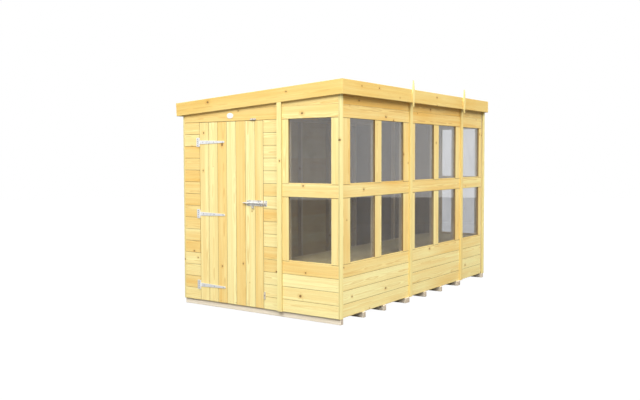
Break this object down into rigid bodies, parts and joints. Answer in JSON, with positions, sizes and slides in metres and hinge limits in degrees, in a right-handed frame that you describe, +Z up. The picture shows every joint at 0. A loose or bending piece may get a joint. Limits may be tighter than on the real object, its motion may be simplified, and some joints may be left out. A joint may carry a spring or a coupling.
{
  "type": "potting shed",
  "caption": "Pent-roofed timber potting shed with a glazed long side, a bench along it inside, a hinged boarded door with bolt and turn buttons, a boarded floor on bearers and a felted roof.",
  "frame": {"origin": "on the ground under the middle of the outer box", "axes": "+Z up, +Y from the door end to the far end, +X from the plain long side to the glazed long side"},
  "size_m": [1.9682, 3.15, 2.1754],
  "materials": {
    "clad_pine": "pressure-treated pine, sawn and planed, satin",
    "trim_pine": "planed pine, satin",
    "frame_pine": "planed pine framing, matte",
    "floor_pine": "planed pine boards, matte",
    "bearer_timber": "rough-sawn treated timber, matte",
    "pane_glass": "clear sheet glass",
    "mineral_felt": "bitumen felt with mineral grit, matte",
    "galvanised_steel": "bright galvanised, satin",
    "plaque_white": "plain white gloss"
  },
  "bodies": {
    "shed": {"floor_bearers": "bearer_timber", "floor_boards": "floor_pine", "bench_boards": "floor_pine", "bench_rails": "frame_pine", "bench_legs": "frame_pine", "door_panel_frame": "frame_pine", "front_window_frame": "frame_pine", "back_window_frame": "frame_pine", "back_plain_frame": "frame_pine", "side_window_near_frame": "frame_pine", "side_window_middle_frame": "frame_pine", "side_window_far_frame": "frame_pine", "rear_near_frame": "frame_pine", "rear_middle_frame": "frame_pine", "rear_far_frame": "frame_pine", "door_panel_left_boards": "clad_pine", "door_panel_right_boards": "clad_pine", "door_panel_head_boards": "clad_pine", "front_window_boards": "clad_pine", "back_window_boards": "clad_pine", "back_plain_boards": "clad_pine", "side_window_near_boards": "clad_pine", "side_window_middle_boards": "clad_pine", "side_window_far_boards": "clad_pine", "rear_near_boards": "clad_pine", "rear_middle_boards": "clad_pine", "rear_far_boards": "clad_pine", "front_window_panes": "pane_glass", "back_window_panes": "pane_glass", "side_window_near_panes": "pane_glass", "side_window_middle_panes": "pane_glass", "side_window_far_panes": "pane_glass", "front_window_beads": "trim_pine", "back_window_beads": "trim_pine", "side_window_beads": "trim_pine", "front_cover_strip": "trim_pine", "back_cover_strip": "trim_pine", "side_cover_strips": "trim_pine", "rear_cover_strips": "trim_pine", "side_corner_trims": "trim_pine", "rear_corner_trims": "trim_pine", "roof_rafters": "frame_pine", "roof_boards": "floor_pine", "roof_felt": "mineral_felt", "front_fascia": "trim_pine", "back_fascia": "trim_pine", "side_fascia": "trim_pine", "rear_fascia": "trim_pine", "fascia_finials": "trim_pine", "hinge_flaps": "galvanised_steel", "hinge_pins": "galvanised_steel", "frame_screws": "galvanised_steel", "bolt_keep": "galvanised_steel", "plaque": "plaque_white"},
    "door": {"door_boards": "clad_pine", "door_ledges": "frame_pine", "door_braces": "frame_pine", "hinge_straps": "galvanised_steel", "door_screws": "galvanised_steel", "bolt_plate": "galvanised_steel"},
    "bolt": {"bolt_bar": "galvanised_steel"},
    "turn_button_top": {"turn_button_top": "galvanised_steel"},
    "turn_button_side": {"turn_button_side": "galvanised_steel"}
  },
  "joints": [
    {"name": "door_hinge", "type": "hinge", "parent": "shed", "child": "door", "pos_m": [-0.68528, -1.5623, 0.8885], "axis": [0, 0, -1], "range_deg": [0, 170]},
    {"name": "bolt_slide", "type": "slide", "parent": "door", "child": "bolt", "axis": [1, 0, 0], "range_m": [0, 0.042]},
    {"name": "turn_button_top_pivot", "type": "hinge", "parent": "shed", "child": "turn_button_top", "pos_m": [-0.01178, -1.5615, 1.7785], "axis": [0, -1, 0], "continuous": true},
    {"name": "turn_button_side_pivot", "type": "hinge", "parent": "shed", "child": "turn_button_side", "pos_m": [0.11422, -1.5615, 0.175], "axis": [0, -1, 0], "continuous": true}
  ]
}
